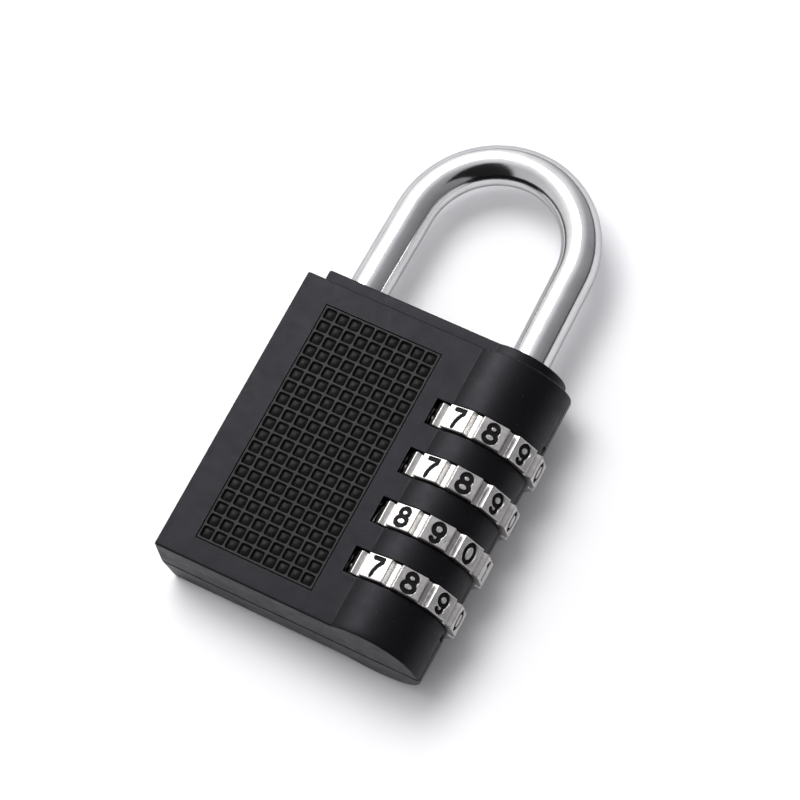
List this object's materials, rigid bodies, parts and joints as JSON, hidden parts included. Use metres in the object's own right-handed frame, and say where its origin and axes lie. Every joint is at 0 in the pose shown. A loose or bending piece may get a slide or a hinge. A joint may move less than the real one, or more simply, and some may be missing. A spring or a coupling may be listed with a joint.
{
  "type": "combination padlock",
  "caption": "Combination padlock with number dials along one side, a textured front panel and a round-bar shackle.",
  "frame": {"origin": "under the middle of the closed lock's box, at the lowest corners of the dials, with the lock lying on its back", "axes": "+X across the body from the toe side to the dial side, +Y along the body towards the shackle, +Z out of the front"},
  "size_m": [0.045, 0.0824, 0.0192],
  "materials": {
    "black_paint": "satin",
    "panel": "satin",
    "chrome": "polished",
    "dial_plating": "satin",
    "spring_steel": "bright",
    "brass": "satin"
  },
  "bodies": {
    "body": {"front_shell": "black_paint", "back_shell": "black_paint", "grip_panel": "panel", "shell_screws": "spring_steel", "shackle_spring": "spring_steel", "sleeve_spring": "spring_steel", "thrust_washer": "brass", "detent_spring_1": "spring_steel", "detent_spring_2": "spring_steel", "detent_spring_3": "spring_steel", "detent_spring_4": "spring_steel"},
    "shackle": {"shackle": "chrome", "retaining_clip": "spring_steel"},
    "dial_1": {"dial_1": "dial_plating", "sleeve_1": "brass"},
    "dial_2": {"dial_2": "dial_plating", "sleeve_2": "brass"},
    "dial_3": {"dial_3": "dial_plating", "sleeve_3": "brass"},
    "dial_4": {"dial_4": "dial_plating", "sleeve_4": "brass"}
  },
  "joints": [
    {"name": "shackle_lift", "type": "slide", "parent": "body", "child": "shackle", "axis": [0, 1, 0], "range_m": [0, 0.008], "deforming": ["shackle_spring"]},
    {"name": "dial_1_turn", "type": "hinge", "parent": "body", "child": "dial_1", "pos_m": [0.01311, -0.00505, 0.00961], "axis": [0, 1, 0], "continuous": true, "deforming": ["detent_spring_1"]},
    {"name": "dial_2_turn", "type": "hinge", "parent": "body", "child": "dial_2", "pos_m": [0.01311, -0.01353, 0.00961], "axis": [0, 1, 0], "continuous": true, "deforming": ["detent_spring_2"]},
    {"name": "dial_3_turn", "type": "hinge", "parent": "body", "child": "dial_3", "pos_m": [0.01311, -0.02201, 0.00961], "axis": [0, 1, 0], "continuous": true, "deforming": ["detent_spring_3"]},
    {"name": "dial_4_turn", "type": "hinge", "parent": "body", "child": "dial_4", "pos_m": [0.01311, -0.03049, 0.00961], "axis": [0, 1, 0], "continuous": true, "deforming": ["detent_spring_4"]}
  ]
}
